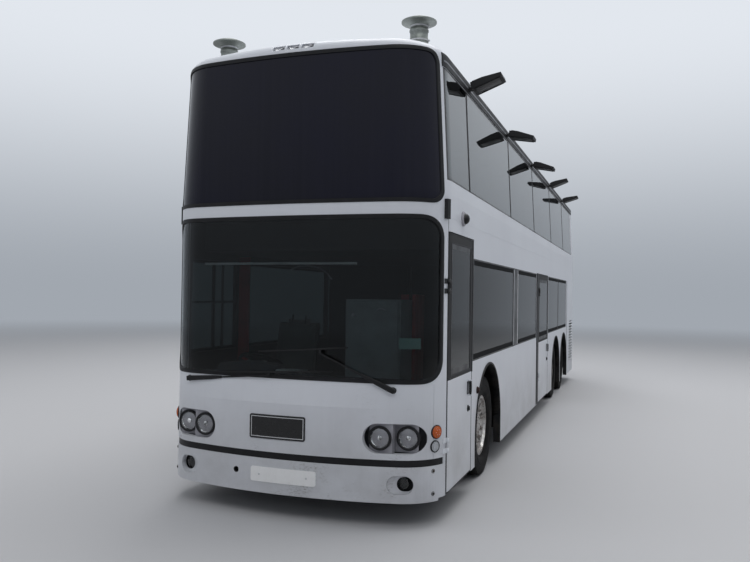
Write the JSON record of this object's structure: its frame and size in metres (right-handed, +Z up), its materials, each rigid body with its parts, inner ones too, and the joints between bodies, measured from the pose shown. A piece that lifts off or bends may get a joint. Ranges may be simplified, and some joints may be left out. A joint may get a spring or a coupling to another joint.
{
  "type": "double decker bus",
  "caption": "Three-axle double-deck coach with wrap-round upper and lower windscreens, kerb-side doors, roof floodlights and mushroom vent cowls.",
  "frame": {"origin": "on the ground under the middle of the coach", "axes": "+X to the nearside (the kerb side, with the doors), +Y to the rear, +Z up"},
  "size_m": [3.0572, 12.0099, 4.1739],
  "materials": {
    "white_paint": "gloss",
    "black_steel": "satin",
    "black_rubber": "matt",
    "tyre_rubber": "matt",
    "black_plastic": "satin",
    "clear_glass": "polished",
    "tinted_glass": "polished",
    "dark_film": "gloss",
    "cast_metal": "cast",
    "wheel_steel": "dull",
    "lamp_chrome": "polished",
    "amber_lamp": "moulded",
    "galvanised": "spun",
    "seat_cloth": "woven",
    "floor_sheet": "satin",
    "grey_cabinet": "moulded"
  },
  "bodies": {
    "coach": {"chassis_frame": "black_steel", "lower_floor": "floor_sheet", "upper_floor": "floor_sheet", "side_lower_nearside": "white_paint", "side_lower_offside": "white_paint", "side_upper_nearside": "white_paint", "side_upper_offside": "white_paint", "front_surround": "white_paint", "front_panel": "white_paint", "front_bumper": "white_paint", "front_seals": "black_rubber", "windscreen_lower": "clear_glass", "windscreen_upper": "dark_film", "lower_glass": "tinted_glass", "upper_glass": "tinted_glass", "roof_panel": "white_paint", "roof_rails": "black_plastic", "rear_wall": "white_paint", "rear_bumper": "white_paint", "engine_block": "cast_metal", "door_hinges": "black_steel", "headlamps": "lamp_chrome", "small_lamps": "amber_lamp", "fog_lamps": "black_plastic", "plates": "black_plastic", "wipers": "black_plastic", "roof_cowls": "galvanised", "floodlights": "black_plastic", "louvre_grille": "white_paint", "wheel_arches": "black_rubber", "front_axle": "black_steel", "rear_axles": "black_steel", "air_springs": "black_rubber", "mirror_brackets": "black_plastic", "dashboard": "black_plastic", "steering_wheel": "black_plastic", "driver_seat": "seat_cloth", "cabinet": "grey_cabinet", "upper_seats": "seat_cloth"},
    "front_door": {"front_door": "white_paint", "front_door_glass": "tinted_glass"},
    "middle_door": {"middle_door": "white_paint", "middle_door_glass": "tinted_glass"},
    "engine_lid": {"engine_lid": "white_paint"},
    "knuckle_nearside": {"knuckle_nearside": "cast_metal"},
    "knuckle_offside": {"knuckle_offside": "cast_metal"},
    "front_wheel_nearside": {"front_tyre_nearside": "tyre_rubber", "front_rim_nearside": "wheel_steel"},
    "front_wheel_offside": {"front_tyre_offside": "tyre_rubber", "front_rim_offside": "wheel_steel"},
    "drive_wheel_nearside": {"drive_tyre_nearside": "tyre_rubber", "drive_rim_nearside": "wheel_steel"},
    "drive_wheel_offside": {"drive_tyre_offside": "tyre_rubber", "drive_rim_offside": "wheel_steel"},
    "tag_wheel_nearside": {"tag_tyre_nearside": "tyre_rubber", "tag_rim_nearside": "wheel_steel"},
    "tag_wheel_offside": {"tag_tyre_offside": "tyre_rubber", "tag_rim_offside": "wheel_steel"}
  },
  "joints": [
    {"name": "steer_nearside", "type": "hinge", "parent": "coach", "child": "knuckle_nearside", "pos_m": [0.85, -3.85, 0.505], "axis": [0, 0, 1], "range_deg": [-45, 45]},
    {"name": "front_wheel_nearside_spin", "type": "hinge", "parent": "knuckle_nearside", "child": "front_wheel_nearside", "pos_m": [1.05, -3.85, 0.505], "axis": [-1, 0, 0], "continuous": true},
    {"name": "drive_wheel_nearside_spin", "type": "hinge", "parent": "coach", "child": "drive_wheel_nearside", "pos_m": [0.882, 2.45, 0.505], "axis": [-1, 0, 0], "continuous": true},
    {"name": "tag_wheel_nearside_spin", "type": "hinge", "parent": "coach", "child": "tag_wheel_nearside", "pos_m": [1.05, 3.85, 0.505], "axis": [-1, 0, 0], "continuous": true},
    {"name": "steer_offside", "type": "hinge", "parent": "coach", "child": "knuckle_offside", "pos_m": [-0.85, -3.85, 0.505], "axis": [0, 0, 1], "range_deg": [-45, 45]},
    {"name": "front_wheel_offside_spin", "type": "hinge", "parent": "knuckle_offside", "child": "front_wheel_offside", "pos_m": [-1.05, -3.85, 0.505], "axis": [-1, 0, 0], "continuous": true},
    {"name": "drive_wheel_offside_spin", "type": "hinge", "parent": "coach", "child": "drive_wheel_offside", "pos_m": [-0.882, 2.45, 0.505], "axis": [-1, 0, 0], "continuous": true},
    {"name": "tag_wheel_offside_spin", "type": "hinge", "parent": "coach", "child": "tag_wheel_offside", "pos_m": [-1.05, 3.85, 0.505], "axis": [-1, 0, 0], "continuous": true},
    {"name": "front_door_hinge", "type": "hinge", "parent": "coach", "child": "front_door", "pos_m": [1.2552, -5.5655, 1.26], "axis": [0, 0, -1], "range_deg": [0, 90]},
    {"name": "middle_door_hinge", "type": "hinge", "parent": "coach", "child": "middle_door", "pos_m": [1.264, -0.0005, 1.26], "axis": [0, 0, -1], "range_deg": [0, 90]},
    {"name": "engine_lid_hinge", "type": "hinge", "parent": "coach", "child": "engine_lid", "pos_m": [0, 5.9925, 1.3255], "axis": [1, 0, 0], "range_deg": [0, 80]}
  ],
  "couplings": [
    {"joint": "steer_offside", "follows": "steer_nearside", "ratio": 1}
  ]
}
